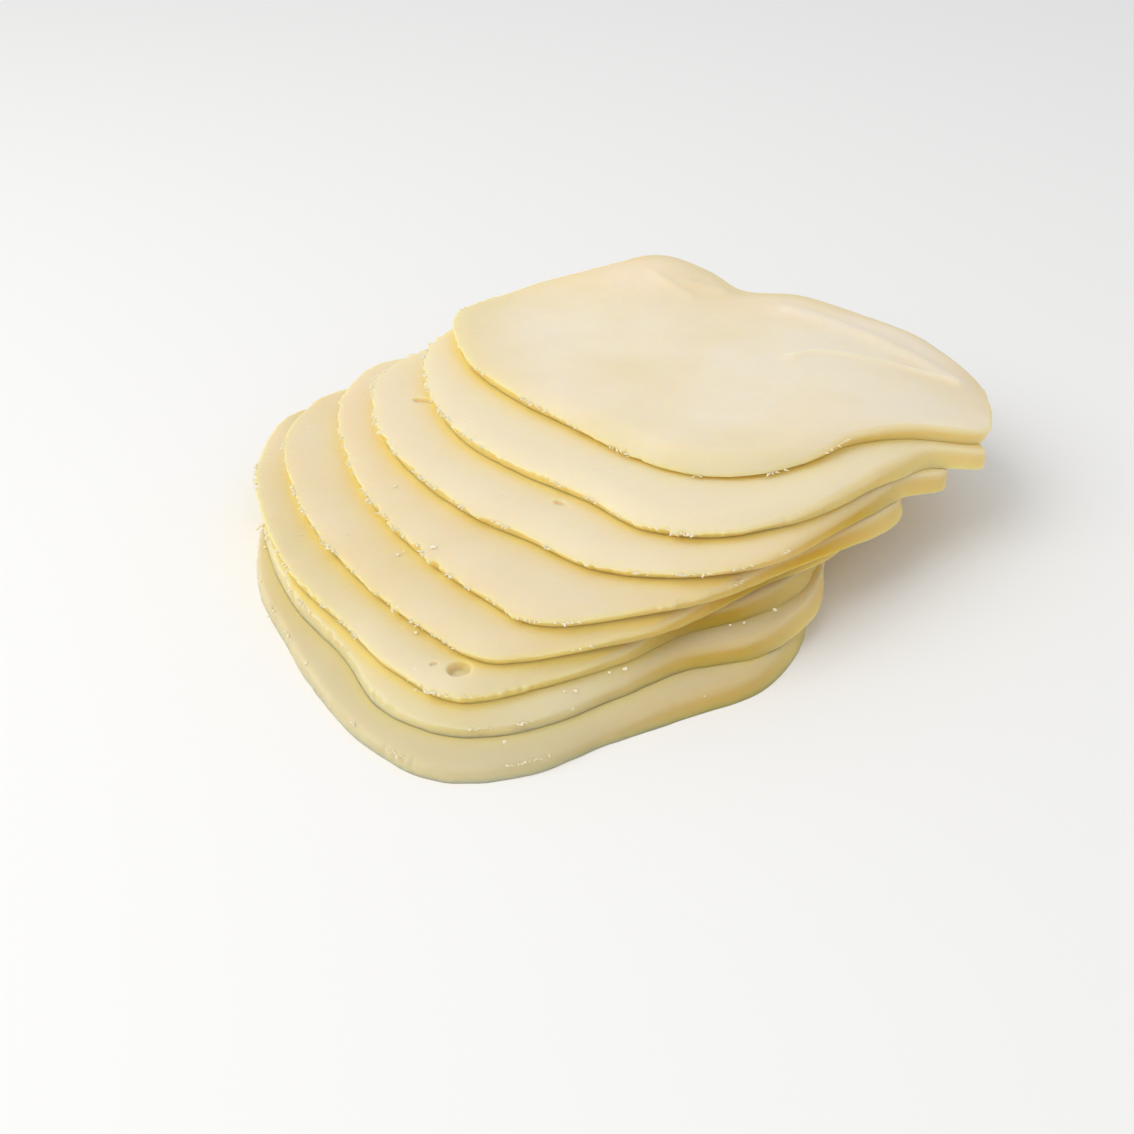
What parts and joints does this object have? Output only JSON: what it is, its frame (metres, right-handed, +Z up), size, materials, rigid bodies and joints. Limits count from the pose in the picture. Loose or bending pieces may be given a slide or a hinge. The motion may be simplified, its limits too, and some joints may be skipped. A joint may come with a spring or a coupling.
{
  "type": "fanned stack of sliced provolone cheese",
  "caption": "Fanned, leaning stack of pale yellow provolone slices with slanted cut rims, ragged near edges and a few small eyes, lying flat.",
  "frame": {"origin": "bottom centre of the whole stack's box, on the face the lowest slice rests on", "axes": "+Z up, -Y towards the near corner of the slices, +X to the right, the way the stack leans as it rises"},
  "size_m": [0.188, 0.1796, 0.0421],
  "materials": {
    "slice_1": "smooth waxy cheese, faint sheen",
    "slice_2": "smooth waxy cheese, faint sheen",
    "slice_3": "smooth waxy cheese, faint sheen",
    "slice_4": "smooth waxy cheese, faint sheen",
    "slice_5": "smooth waxy cheese, faint sheen",
    "slice_6": "smooth waxy cheese, faint sheen",
    "slice_7": "smooth waxy cheese, faint sheen",
    "slice_8": "smooth waxy cheese, faint sheen"
  },
  "bodies": {
    "root": {"slice_1": "slice_1", "slice_2": "slice_2", "slice_3": "slice_3", "slice_4": "slice_4", "slice_5": "slice_5", "slice_6": "slice_6", "slice_7": "slice_7", "slice_8": "slice_8"}
  },
  "joints": []
}
